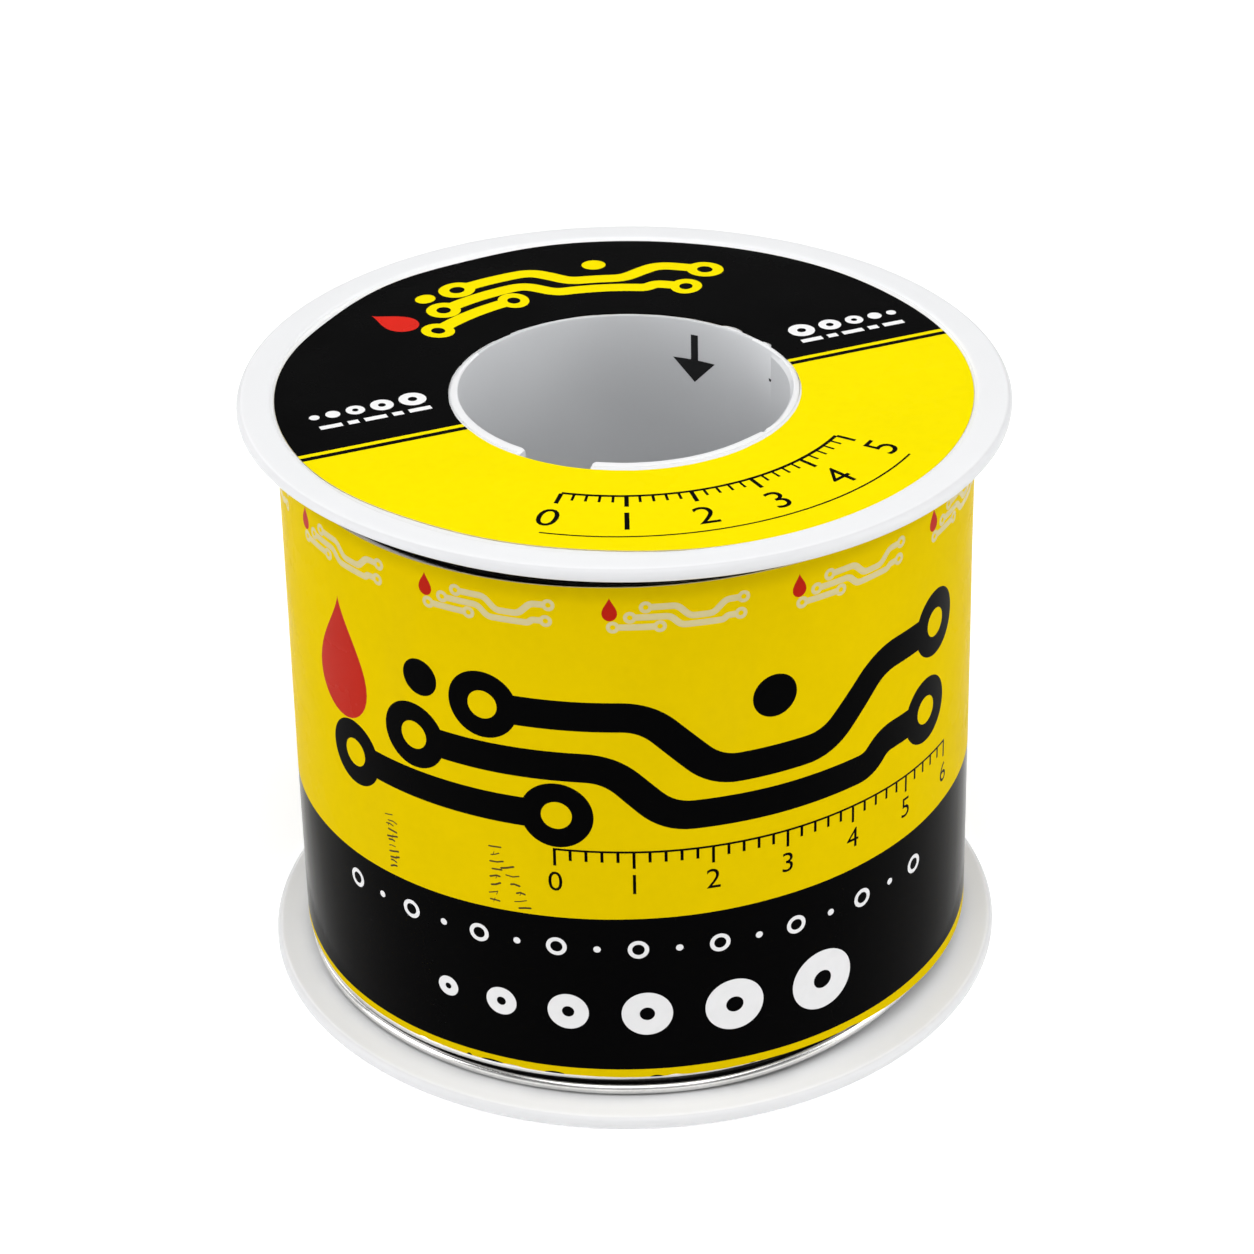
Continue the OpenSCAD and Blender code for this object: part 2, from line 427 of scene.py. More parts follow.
def flange_profile():
    """Outer face down, from the hole out along the recess, round the rim and back."""
    p = [(RSP + 0.02, REC_T), (RSP + 0.6, REC_T)]
    p += [(r, REC_T) for r in (13.0, 15.0, 17.0, 19.0, 21.0, 22.2)]
    p += arc(REC_R - 0.16, REC_T - 0.16, 0.16, 90, 30, 5)
    p += [(REC_R + 0.06, 0.12)]
    p += arc(REC_R + 0.36, 0.28, 0.28, 215, 270, 6)
    p += [(23.4, 0.0), (24.0, 0.0)]
    p += arc(RF - RIM, RIM, RIM, -90, 0, 13)
    p += arc(RF - RIM, FT - RIM, RIM, 0, 90, 13)
    p += [(r, FT) for r in (24.1, 23.4, 22.4, 20.0, 16.0, RSP + 0.02)]
    return p


def flange_wobble(seed):
    def f(th, r, z):
        k = np.clip((r - 20.0) / 5.0, 0, 1) ** 2
        return r * (1 - 0.0007 * (1 + wob(th, seed, 4)) * 0.5 * k), z
    return f


def upper_wobble(th, r, z):
    """The upper flange: askew, and a little thinner on its left front."""
    k = np.clip((r - 20.0) / 5.0, 0, 1) ** 2
    rr = r * (1 - 0.0007 * (1 + wob(th, 8, 4)) * 0.5 * k)
    thin = 0.46 * near_deg(np.degrees(th), -142, 32) * np.clip((r - 21.0) / 3.0, 0, 1)
    zz = z + thin * np.clip((HA - 0.45 - z) / (FT - 0.45), 0, 1)
    return rr, zz + TILT * rr * np.cos(th)


low = revolve("lower_flange_moulding", flange_profile(), 384, [WHITE], flange_wobble(3))
cut(low, revolve("hole_cutter", [(0.02, -1), (0.6, -1), (0.6, 3), (0.02, 3)], 40, [WHITE], centre=(ANCHOR, 0.0)))
cut(low, wedge("low_notch", 10.9, NOTCH_R, -1.0, 2.5, NOTCH_AT + 180, NOTCH_W, WHITE))
low.data.set_sharp_from_angle(angle=math.radians(32))
prof = [(r, HA - z) for r, z in flange_profile()]
up = revolve("upper_flange_moulding", prof, 384, [WHITE], upper_wobble)
cut(up, wedge("up_notch", 10.9, NOTCH_R, HA - 2.5, HA + 2.0, NOTCH_AT, NOTCH_W, WHITE))
up.data.set_sharp_from_angle(angle=math.radians(32))


# ---------------------------------------------------------------- core tube with its bevelled ends
def core_tube():
    n = 1080
    th = np.linspace(-PI, PI, n, endpoint=False)
    deg = np.degrees(th)
    x = np.cos(th)

    def corner(c):
        """Rounds the lip where it meets the notch."""
        d = np.abs((deg - c + 180) % 360 - 180) - NOTCH_W / 2
        return 0.16 * (1 - np.clip(d / 1.5, 0, 1)) ** 2

    burr = 0.010 * wob(th, 5, 14, 3) + 0.012 * near_deg(deg, 50, 3.4) + 0.012 * near_deg(deg, 34, 2.4)
    burr = burr - 0.02 * near_deg(deg, 101, 1.4) - 0.02 * near_deg(deg, 133, 1.8)
    chip = near_deg(deg, -37.4, 0.75)
    # radius, height against the lip's crest, and how much of the lip's unevenness it takes
    lip = [(RB, -0.34, 0), (RB, -0.11, 0.7), (RB + 0.010, -0.055, 1), (RB + 0.045, -0.018, 1), (RB + 0.11, 0.0, 1),
           (RB + 0.20, -0.003, 1), (RB + 0.30, -0.012, 1), (RB + 0.40, -0.022, 1), (RB + 0.50, -0.034, 1),
           (RB + 0.57, -0.058, 1), (RSP, -0.11, 1), (RSP, -0.32, 0)]
    rings, vm = [], []

    def add(r, z, m, dr=0.0):
        rr = np.full(n, float(r)) + dr
        zz = np.full(n, 0.0) + z
        rings.append(np.stack([rr * np.cos(th), rr * np.sin(th), zz], -1))
        vm.append(m)

    crest = HA - 0.255 - 0.055 * np.sin(th)
    worn = 0.17 * near_deg(deg, 0, 45) + 0.10 * near_deg(deg, 15, 15) + 0.20 * near_deg(deg, -31, 9) + 0.13 * near_deg(deg, -75, 30)
    for i, (r, z, k) in enumerate(lip):
        dip = chip * 0.22 * (1 - sstep((r - RB - 0.22) / 0.22))
        out = worn * (1 - (r - RB) / 0.6) if i else 0.0
        add(r, crest + z + (burr - dip - corner(NOTCH_AT)) * k + TILT * r * x, 1 if i else 0, out)
    for r, z in ((RSP, HA - FT + 0.02), (RC, HA - FT)):
        add(r, z + TILT * r * x, 1)
    for f in (0.75, 0.5, 0.25):
        add(RC, H * f, 1)
    for r, z in ((RC, FT), (RSP, FT - 0.02)):
        add(r, z, 1)
    for i, (r, z, k) in enumerate(reversed(lip)):
        zz = 0.255 - z - (burr[::-1] - corner(NOTCH_AT + 180)) * k
        add(r, zz, 1 if i < len(lip) - 1 else 0)
    for f in (0.12, 0.3, 0.5, 0.7, 0.88):
        add(RB, H * f, 0)
    P = np.stack(rings, 1)
    ob = grid_ring("core_tube_moulding", P, [TUBE_SHADED, WHITE, MARK_INK], sharp=0, vmat=vm)
    for f in ob.data.polygons:
        # the far side of the lip is under the label's edge, in shade
        c = f.center / MM
        if c.z > HA - 0.9 and math.hypot(c.x, c.y) < RB + 0.16 and 38 < math.degrees(math.atan2(c.y, c.x)) < 152:
            f.material_index = 0
    cut(ob, wedge("tube_up_notch", 9.0, NOTCH_R, HA - FT + 0.03, HA + 2.0, NOTCH_AT, NOTCH_W, TUBE_SHADED))
    cut(ob, wedge("tube_low_notch", 9.0, NOTCH_R, -2.0, FT - 0.02, NOTCH_AT + 180, NOTCH_W, TUBE_SHADED))
    return ob


tube = core_tube()


def bore_mark(ob):
    """A moulder's plain arrow and a speck, inked on the wall of the bore."""
    bm = bmesh.new()
    bm.from_mesh(ob.data)

    def patch(loop, mid_deg, mid_z):
        L = densify(np.concatenate([loop, loop[:1]]), 0.25)[:-1]
        ro, ri = [], []
        for u, v in L:
            t = math.radians(mid_deg) + u / RB
            ro.append(bm.verts.new(((RB + 0.03) * math.cos(t) * MM, (RB + 0.03) * math.sin(t) * MM, (mid_z + v) * MM)))
            ri.append(bm.verts.new(((RB - 0.012) * math.cos(t) * MM, (RB - 0.012) * math.sin(t) * MM, (mid_z + v) * MM)))
        n = len(L)
        fs = [bm.faces.new([ri[i], ri[(i + 1) % n], ro[(i + 1) % n], ro[i]]) for i in range(n)]
        fs.append(bm.faces.new(ri[::-1]))
        fs.append(bm.faces.new(ro))
        for f in fs:
            f.material_index = 2
        bmesh.ops.triangulate(bm, faces=fs[-2:])
    # seen from the axis, u runs to the left
    w = 0.26
    patch(np.array([(-w, 1.75), (w, 1.75), (w, -0.20), (-w, -0.20)]), 63.5, 38.25)
    patch(np.array([(-1.55, -0.10), (1.55, -0.10), (0.0, -1.75)]), 63.5, 38.25)
    patch(np.array([(-0.16, 0.10), (0.18, 0.07), (0.12, -0.12), (-0.1, -0.10)]), 26.0, 38.95)
    bm.to_mesh(ob.data)
    bm.free()
    face_outward(ob)
    ob.data.set_sharp_from_angle(angle=math.radians(38))


# ---------------------------------------------------------------- wire
def sweep(name, deg, R, Z, wr, mats, nseg=14, hollow=None, sharp=45):
    """A round wire along (deg, R, Z); capped, or open with a blind hole of radius hollow at its far end."""
    th = np.radians(deg)
    a = np.linspace(0, TAU, nseg, endpoint=False)
    er = np.stack([np.cos(th), np.sin(th), np.zeros_like(th)], -1)
    c = er * R[:, None] + np.array([0, 0, 1.0]) * Z[:, None]
    t = np.gradient(c, axis=0)
    t /= np.linalg.norm(t, axis=1)[:, None]
    up_ = np.array([0, 0, 1.0])
    side = np.cross(t, up_)
    side /= np.linalg.norm(side, axis=1)[:, None]
    upv = np.cross(side, t)
    wrv = np.broadcast_to(np.asarray(wr, float), th.shape)

    def ring(i, rad, back=0.0):
        return c[i] - t[i] * back + rad * (np.cos(a)[:, None] * side[i] + np.sin(a)[:, None] * upv[i])

    rows = [ring(i, wrv[i]) for i in range(len(th))]
    if hollow:
        rows.append(ring(-1, wrv[-1] * 0.94, -0.03))
        rows.append(ring(-1, hollow * 1.15, -0.035))
        rows.append(ring(-1, hollow, 0.0))
        rows.append(ring(-1, hollow, 0.5))
    P = np.stack(rows, 0)
    return grid_ring(name, P, mats, sharp=sharp, closed_u=False, closed_v=True, caps=True)


START = 95.0
P0 = 0.8075         # spacing of the turns
ZT0 = 2.70          # where the first turn has climbed to when it comes round
ZTOP = ZT0 + 46 * P0


def smooth_path(f, pts):
    """Smooth rise and fall through (angle along the turn, height) points."""
    xs, ys = np.array(pts, float).T
    i = np.clip(np.searchsorted(xs, f, side="right") - 1, 0, len(xs) - 2)
    h = xs[i + 1] - xs[i]
    t = np.clip((f - xs[i]) / h, 0, 1)
    m = np.gradient(ys, xs)
    m[0] = m[-1] = 0.0
    a, b = ys[i], ys[i + 1]
    return (2 * t ** 3 - 3 * t ** 2 + 1) * a + (t ** 3 - 2 * t ** 2 + t) * h * m[i] + (3 * t ** 2 - 2 * t ** 3) * b + (t ** 3 - t ** 2) * h * m[i + 1]


def first_turn(f):
    return smooth_path(f, [(0, Z0), (60, Z0), (120, Z0), (172, Z0), (192, Z0 + 0.09), (211, Z0 + 0.58), (220, Z0 + 0.88), (228, Z0 + 1.10),
                           (240, ZT0 - 0.04), (256, ZT0), (300, ZT0), (360, ZT0)])


def second_turn(f):
    return smooth_path(f, [(0, ZT0), (30, 2.62), (80, 2.27), (112, 2.26), (142, 2.37), (161, 2.51), (175, 2.61), (192, 2.73), (211, 3.10),
                           (226, 3.36), (244, ZT0 + P0), (300, ZT0 + P0), (360, ZT0 + P0)])


def last_turn(f):
    return ZTOP - P0 + P0 * sstep((f - 315.0) / 45.0)


def outer_layer():
    """One helix: each turn lies flat beside the last and steps over on its way round."""
    phis = []
    for k in range(TURNS + 1):
        step = 1.5 if (k < 3 or k > TURNS - 3) else 5.0
        end = 45.0 if k == TURNS else 360.0
        phis.append(np.arange(0, end, step) + k * 360.0)
    phi = np.concatenate(phis + [[TURNS * 360.0 + 45.0]])
    k = np.floor(phi / 360.0)
    f = phi - 360.0 * k
    w = np.clip((k - 1) / 45.0, 0, 1)
    z = (1 - w) * (second_turn(f) + (k - 1) * P0) + w * (last_turn(f) - (46 - k) * P0)
    z = np.where(k < 1, first_turn(f), np.where(k > 46, ZTOP, z))
    th = np.radians(phi)
    ripple = 0.006 * np.sin(2.3 * th + 0.7) + 0.005 * np.sin(5.1 * th + 2.0)
    z = z + np.where(k < 1, np.abs(ripple) * 0.5, ripple)
    deg = phi + START
    back = 0.46 * sstep((k - 44.5) / 1.2) * top_hollow(deg)
    R = TR - 0.012 + 0.008 * np.sin(1.7 * th) - 0.72 * (1 - sstep(phi / 14.0)) - back - slack(deg, z)
    z = z + TILT * R * np.cos(np.radians(deg)) * np.clip(k / 47.0, 0, 1)
    return sweep("outer_wire_turns", deg, R, z, WR - 0.006, [SOLDER], 14)


def top_hollow(deg):
    """Where the last turns have sunk in under the upper flange: all of the front left."""
    d = (np.asarray(deg, float) + 118.0 + 180) % 360 - 180
    return 1 - sstep((np.abs(d) - 38.0) / 22.0)


wire = outer_layer()

deg = np.arange(TAIL_FROM, TAIL_FROM + TAIL_DEG + 0.1, 2.0)
tt = (deg - TAIL_FROM) / TAIL_DEG


def tail_path(deg, tt):
    R = TR - 0.012 + 0.010 * np.sin(np.radians(deg) * 3.1) - 0.50 * top_hollow(deg) - slack(deg, ZTOP)
    z = ZTOP - 0.006 - 0.02 * np.abs(np.sin(np.radians(deg) * 2.2)) - 0.04 * sstep((tt - 0.9) / 0.1)
    return R, z + TILT * R * np.cos(np.radians(deg))


RT, ZT = tail_path(deg, tt)
tail = sweep("wire_last_part_turn", deg, RT, ZT, WR - 0.006, [SOLDER], 22, hollow=FR)


def bundle_profile():
    """Section of the inner layers: round turns at both ends of the winding, plain where the outer layer hides them."""
    ro = TR - WR
    out = []

    def scallop(zc, back):
        for a in np.linspace(-80, 80, 9):
            out.append((ro - WR - back + WR * math.cos(math.radians(a)), zc + WR * math.sin(math.radians(a))))
    z_lo = FT + 0.01
    out.append((RC + 0.02, z_lo))
    out.append((ro - WR - 0.12, z_lo))
    for i in range(5):
        scallop(z_lo + WR + i * 0.81, 0.12 if i == 0 else 0.0)
    out.append((ro - 0.25, z_lo + WR + 5 * 0.81))
    top = HA - FT - 0.22
    out.append((ro - 0.25, top - WR - 5 * 0.81))
    for i in reversed(range(4)):
        scallop(top - WR - i * 0.81, 0.55)
    out.append((ro - WR - 0.55, top))
    out.append((RC + 0.02, top))
    out.append((RC + 0.02, H * 0.5))
    return out


# the inner layers take the painted-shade wire colour
bundle = revolve("inner_wire_layers", bundle_profile(), 300, [SOLDER_SHADED], sharp=60)

# start end in the anchor hole, seen from below
start = revolve("wire_start_stub", [(FR, 0.75), (FR, 0.27), (FR + 0.03, 0.235), (0.36, 0.22), (0.392, 0.25), (0.396, 0.3),
                                    (0.396, FT + 0.0), (FR, FT + 0.0)], 40, [SOLDER], centre=(ANCHOR, 0.0))


def plug(name, p, axis, r, length):
    """A short rosin thread with an uneven domed end that faces along axis."""
    ax = Vector(axis).normalized()
    q = ax.to_track_quat("Z", "Y").to_matrix()
    rows = []
    for s, rad in ((0.0, 0.55), (0.0, 0.8), (0.01, 1.0), (length - 0.03, 1.0), (length - 0.012, 0.86), (length, 0.5)):
        a = np.linspace(0, TAU, 20, endpoint=False)
        k = r * rad * (1 + 0.02 * np.sin(3 * a))
        pts = np.stack([k * np.cos(a), k * np.sin(a), np.full_like(a, s) + (0.006 * np.sin(2 * a + 1) if s > 0.02 else 0)], -1)
        rows.append(pts)
    P = np.stack(rows, 0) @ np.array(q).T + np.asarray(p)
    return P


flux_parts = []
e = math.radians(TAIL_FROM + TAIL_DEG)
tang = np.array([-math.sin(e), math.cos(e), 0.0])
tip = np.array([RT[-1] * math.cos(e), RT[-1] * math.sin(e), ZT[-1]])
flux_parts.append(plug("a", tip - tang * 0.42, tang, FR - 0.004, 0.40))
flux_parts.append(plug("b", (ANCHOR, 0.0, 0.72), (0, 0, -1), FR - 0.004, 0.45))
fv, ff = [], []
for P in flux_parts:
    nu, nv = P.shape[:2]
    base = sum(len(x) for x in fv)
    idx = np.arange(nu * nv).reshape(nu, nv) + base
    fv.append(P.reshape(-1, 3))
    for i in range(nu - 1):
        for j in range(nv):
            ff.append([idx[i, j], idx[i, (j + 1) % nv], idx[i + 1, (j + 1) % nv], idx[i + 1, j]])
    ff.append(idx[0][::-1].tolist())
    ff.append(idx[-1].tolist())
flux = mesh_object("rosin_flux_threads", np.concatenate(fv), ff, [ROSIN])
face_outward(flux)


# ---------------------------------------------------------------- print shapes, flat, in mm
def ring_loop(cx, cy, r, n=56):
    a = np.linspace(0, TAU, n, endpoint=False)
    return np.stack([cx + r * np.cos(a), cy + r * np.sin(a)], -1)


def offset_loop(line, w, cap=9):
    """Outline of a stroke of width w along line, with round ends."""
    p = np.asarray(line, float)
    d = np.gradient(p, axis=0)
    d /= np.linalg.norm(d, axis=1)[:, None] + 1e-12
    nrm = np.stack([-d[:, 1], d[:, 0]], -1)
    left = p + nrm * w / 2
    right = p - nrm * w / 2

    def cap_pts(c, dirv, sgn):
        a0 = math.atan2(dirv[1], dirv[0])
        a = np.linspace(a0 + sgn * PI / 2, a0 - sgn * PI / 2, cap + 2)[1:-1]
        return np.stack([c[0] + w / 2 * np.cos(a), c[1] + w / 2 * np.sin(a)], -1)
    return np.concatenate([left, cap_pts(p[-1], d[-1], 1), right[::-1], cap_pts(p[0], -d[0], 1)])


def densify(line, step):
    p = np.asarray(line, float)
    out = [p[0]]
    for a, b in zip(p[:-1], p[1:]):
        n = max(1, int(math.ceil(np.linalg.norm(b - a) / step)))
        for i in range(1, n + 1):
            out.append(a + (b - a) * i / n)
    return np.array(out)


def rounded(line, r, step=0.4):
    """The same path with its corners drawn as curves."""
    p = np.asarray(line, float)
    out = [p[0]]
    for a, b, c in zip(p[:-2], p[1:-1], p[2:]):
        u, v = (a - b), (c - b)
        lu, lv = np.linalg.norm(u), np.linalg.norm(v)
        k = min(r, lu * 0.48, lv * 0.48)
        q0, q1 = b + u / lu * k, b + v / lv * k
        for t in np.linspace(0, 1, 9):
            out.append((1 - t) ** 2 * q0 + 2 * t * (1 - t) * b + t * t * q1)
    out.append(p[-1])
    return densify(out, step)


def drop_loop(cx, cy, h, n=40):
    """A drop: round below, drawn to a point above."""
    a = np.linspace(-PI, PI, n, endpoint=False)
    t = (np.cos(a) + 1) / 2
    x = np.sin(a) * (1 - t) ** 0.9 * 0.62
    y = t
    x = np.sin(a) * np.sin((1 - t) * PI / 2) ** 1.0 * 0.36
    return np.stack([cx + x * h, cy + (y - 0.42) * h], -1)


TRACES = ([(-23.2, 29.9), (-17.2, 29.9), (-12.9, 25.6), (-5.2, 25.6), (-0.9, 29.9), (9.4, 29.9)],
          [(-22.2, 23.9), (-17.6, 23.9), (-16.3, 22.6), (-2.2, 22.6), (1.4, 26.2), (14.6, 26.2)],
          [(4.8, 22.6), (20.2, 22.6)])


def circuit(ink, ground, red, place, width=2.1, dens=1.0, parts=(0, 1, 2), pad=2.35, dots=True, drop=8.8):
    """Solder-joint artwork: tracks that end in ring pads, two dots, and a drop at the left.
    place maps (x, z) points of the flat artwork into the print."""
    S = []

    def put(L):
        return place(L * [-1.0, 1.0])
    for i in parts:
        line = rounded(TRACES[i], 1.6, 0.5 / dens)
        S.append(dict(loops=[put(offset_loop(line, width))], mat=ink))
    for i in parts:
        for c in (TRACES[i][0], TRACES[i][-1]):
            S.append(dict(loops=[put(ring_loop(*c, pad, int(48 * dens)))], mat=ink))
            S.append(dict(loops=[put(ring_loop(*c, pad * 0.42, int(30 * dens)))], mat=ground))
    if dots:
        S.append(dict(loops=[put(ring_loop(-9.1, 30.2, 1.5, int(36 * dens)))], mat=ink))
        S.append(dict(loops=[put(ring_loop(13.9, 30.6, 1.3, int(36 * dens)))], mat=ink))
    S.append(dict(loops=[put(drop_loop(21.2, 28.6, drop, int(44 * dens)))], mat=red))
    return S


def box_loop(x0, y0, x1, y1):
    return np.array([(x0, y0), (x1, y0), (x1, y1), (x0, y1)], float)


_glyphs = {}


def glyph(ch):
    """Outline loops of a plain figure, 1 high, its middle at x 0 and its foot at y 0."""
    if ch in _glyphs:
        return _glyphs[ch]
    cu = bpy.data.curves.new("figure", "FONT")
    cu.body = ch
    cu.size = 1.0
    cu.fill_mode = "NONE"
    cu.resolution_u = 4
    cu.offset = 0.022
    ob = bpy.data.objects.new("figure", cu)
    bpy.context.scene.collection.objects.link(ob)
    dg = bpy.context.evaluated_depsgraph_get()
    me = bpy.data.meshes.new_from_object(ob.evaluated_get(dg))
    co = np.array([v.co[:2] for v in me.vertices], float)
    nxt = {}
    for ed in me.edges:
        a, b = ed.vertices
        nxt.setdefault(a, []).append(b)
        nxt.setdefault(b, []).append(a)
    seen, loops = set(), []
    for s in range(len(co)):
        if s in seen or s not in nxt:
            continue
        loop, cur, prev = [s], s, None
        seen.add(s)
        while True:
            step = [q for q in nxt[cur] if q != prev and q not in seen]
            if not step:
                break
            prev, cur = cur, step[0]
            seen.add(cur)
            loop.append(cur)
        if len(loop) > 2:
            loops.append(co[loop])
    bpy.data.objects.remove(ob)
    bpy.data.curves.remove(cu)
    bpy.data.meshes.remove(me)
    allp = np.concatenate(loops)
    lo, hi = allp.min(0), allp.max(0)
    loops = [(l - [(lo[0] + hi[0]) / 2, lo[1]]) / (hi[1] - lo[1]) for l in loops]
    _glyphs[ch] = loops
    return loops


def inside(P, loops):
    c = np.zeros(len(P), bool)
    for L in loops:
        a, b = L, np.roll(L, -1, 0)
        y = P[:, 1][:, None]
        up1 = (a[None, :, 1] > y) != (b[None, :, 1] > y)
        dy = b[:, 1] - a[:, 1]
        dy = np.where(np.abs(dy) < 1e-12, 1e-12, dy)
        x = a[None, :, 0] + (y - a[None, :, 1]) * ((b[:, 0] - a[:, 0]) / dy)[None, :]
        c ^= (np.sum(up1 & (P[:, 0][:, None] < x), 1) % 2).astype(bool)
    return c


def triangulate(domain, shapes, base, lines, extra_pts):
    """Flat print as triangles. domain: loops (even-odd). shapes: later ones print over earlier ones.
    base(P) gives the ground ink. lines: open constraint lines. Returns points, triangles and ink numbers."""
    V, E = [], []

    def put(L, closed=True):
        n0 = len(V)
        V.extend([tuple(map(float, p)) for p in L])
        n = len(L)
        E.extend([(n0 + i, n0 + (i + 1) % n) for i in range(n if closed else n - 1)])
    for L in domain:
        put(L)
    for s in shapes:
        for L in s["loops"]:
            put(L)
    for L in lines:
        put(L, False)
    V.extend([tuple(map(float, p)) for p in extra_pts])
    vo, eo, fo, *_ = delaunay_2d_cdt([Vector(p) for p in V], E, [], 0, 1e-5, False)
    P = np.array([(p[0], p[1]) for p in vo])
    T = np.array([list(f) for f in fo if len(f) == 3], int)
    C = P[T].mean(1)
    keep = inside(C, domain)
    e1, e2 = P[T[:, 1]] - P[T[:, 0]], P[T[:, 2]] - P[T[:, 0]]
    area = (e1[:, 0] * e2[:, 1] - e1[:, 1] * e2[:, 0]) / 2
    keep &= np.abs(area) > 1e-9
    T, C, area = T[keep], C[keep], area[keep]
    T[area < 0] = T[area < 0][:, ::-1]
    ink = base(C)
    for s in shapes:
        allp = np.concatenate(s["loops"])
        lo, hi = allp.min(0), allp.max(0)
        m = np.where((C[:, 0] >= lo[0]) & (C[:, 0] <= hi[0]) & (C[:, 1] >= lo[1]) & (C[:, 1] <= hi[1]))[0]
        if len(m):
            hit = inside(C[m], s["loops"])
            ink[m[hit]] = s["mat"]
    used = np.unique(T)
    remap = -np.ones(len(P), int)
    remap[used] = np.arange(len(used))
    return P[used], remap[T], ink


def sheet_solid(name, P2, T, ink, outer, inner, normal, mats, edge_mat, dark_edge=None):
    """The printed triangles as a thin closed sheet. outer, inner, normal map flat points to 3D."""
    n = len(P2)
    VO, VI, NO = outer(P2), inner(P2), normal(P2)
    F = [list(t) for t in T] + [[t[2] + n, t[1] + n, t[0] + n] for t in T]
    edges = np.concatenate([T[:, [0, 1]], T[:, [1, 2]], T[:, [2, 0]]])
    key = np.sort(edges, 1)
    _, inv, cnt = np.unique(key, axis=0, return_inverse=True, return_counts=True)
    rim = edges[cnt[inv.reshape(-1)] == 1]
    walls = [[b, a, a + n, b + n] for a, b in rim]
    F += walls
    V = np.concatenate([VO, VI])
    nt = len(T)
    LN = [NO[T].reshape(-1, 3), -NO[T[:, ::-1]].reshape(-1, 3)]
    W = np.array(walls)
    wn = np.cross(V[W[:, 1]] - V[W[:, 0]], V[W[:, 2]] - V[W[:, 1]])
    wn /= np.linalg.norm(wn, axis=1)[:, None] + 1e-12
    LN.append(np.repeat(wn, 4, 0))
    wm = np.full(len(walls), edge_mat)
    if dark_edge is not None:
        m2, test = dark_edge
        wm[test(P2[W[:, 0]])] = m2
    midx = np.concatenate([ink, np.full(nt, edge_mat), wm])
    return mesh_object(name, V, F, mats, midx, np.concatenate(LN))


# ---------------------------------------------------------------- wrap label
ROUT = LR + LT
S_LEN = math.radians(360.0 + SEAM_W) * ROUT


def band_top(s):
    """Upper edge of the black band; the print runs a little uphill."""
    return 15.05 + 0.019 * ROUT * np.cos(s / ROUT + math.radians(SEAM))


def stripe_top(s):
    return 3.30 + 0.009 * ROUT * np.cos(s / ROUT + math.radians(SEAM))


def to_s(degrees):
    return math.radians((degrees - SEAM) % 360.0) * ROUT


def wrap_radius(s, z):
    th = s / ROUT
    lift = LT * 1.05 * sstep((np.degrees(th) - 354.5) / 4.5)
    end = sstep((s - (S_LEN - 1.6)) / 1.6) * 0.03
    und = 0.014 * np.sin(5 * th + 0.08 * z + 1.0) + 0.010 * np.sin(9 * th - 0.21 * z) + 0.006 * np.sin(17 * th + 0.35 * z + 2.0)
    fade = np.clip(s / 3.0, 0, 1) * np.clip((S_LEN - s) / 3.0, 0, 1)
    full = 0.20 * near_deg(np.degrees(th) + SEAM, -4, 42) * np.clip(1 - z / 30.0, 0, 1)
    return lift + end + und * fade - 0.012 + full - slack(np.degrees(th) + SEAM, z)


def wrap_map(extra):
    def f(P):
        s, z = P[:, 0], P[:, 1]
        th = s / ROUT + math.radians(SEAM)
        r = ROUT + wrap_radius(s, z) + extra
        return np.stack([r * np.cos(th), r * np.sin(th), z], -1)
    return f


def wrap_normal(P):
    f = wrap_map(0.0)
    h = 0.02
    du = f(P + [h, 0]) - f(P - [h, 0])
    dz = f(P + [0, h]) - f(P - [0, h])
    nn = np.cross(du, dz)
    return nn / np.linalg.norm(nn, axis=1)[:, None]


